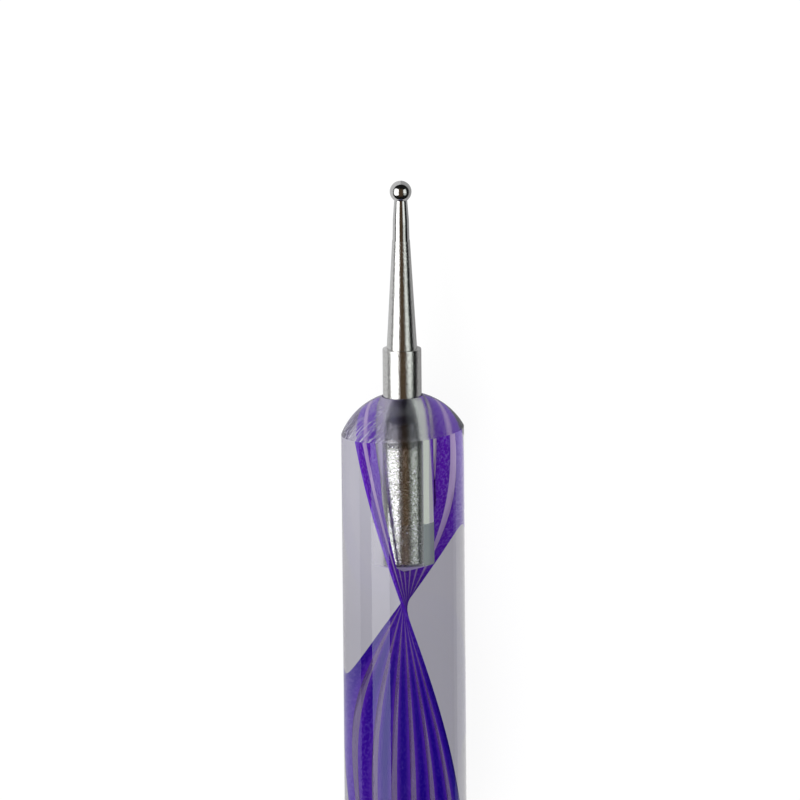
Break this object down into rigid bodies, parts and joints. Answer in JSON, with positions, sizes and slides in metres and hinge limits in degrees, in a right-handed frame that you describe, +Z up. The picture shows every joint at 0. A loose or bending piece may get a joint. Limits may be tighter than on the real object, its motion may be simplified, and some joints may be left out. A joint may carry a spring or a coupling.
{
  "type": "embossing stylus",
  "caption": "Hand stylus with a clear round handle, a striped sheet twisted inside it, and a ball-tipped steel point glued into each domed end.",
  "frame": {"origin": "on the table under the rod, halfway along the overall length from ball to ball", "axes": "+X along the rod towards the front point, +Z up; the stylus lies on its side"},
  "size_m": [0.1256, 0.0094, 0.0095],
  "materials": {
    "clear_acrylic": "polished barrel, ground domes",
    "purple_acrylic": "cast inside the rod, speckled",
    "lilac_film": "cast inside the rod, translucent",
    "plated_steel": "turned, bright plated",
    "polished_steel": "polished",
    "clear_adhesive": "set clear"
  },
  "bodies": {
    "root": {"handle": "clear_acrylic", "swirl_stripe_1": "purple_acrylic", "swirl_stripe_2": "purple_acrylic", "swirl_stripe_3": "purple_acrylic", "swirl_stripe_4": "purple_acrylic", "swirl_stripe_5": "purple_acrylic", "swirl_stripe_6": "purple_acrylic", "swirl_stripe_7": "purple_acrylic", "swirl_film_1": "lilac_film", "swirl_film_2": "lilac_film", "swirl_film_3": "lilac_film", "swirl_film_4": "lilac_film", "swirl_film_5": "lilac_film", "swirl_film_6": "lilac_film", "front_ferrule": "plated_steel", "front_adhesive": "clear_adhesive", "front_taper_shank": "plated_steel", "front_ball_tip": "polished_steel", "rear_ferrule": "plated_steel", "rear_adhesive": "clear_adhesive", "rear_taper_shank": "plated_steel", "rear_ball_tip": "polished_steel"}
  },
  "joints": []
}
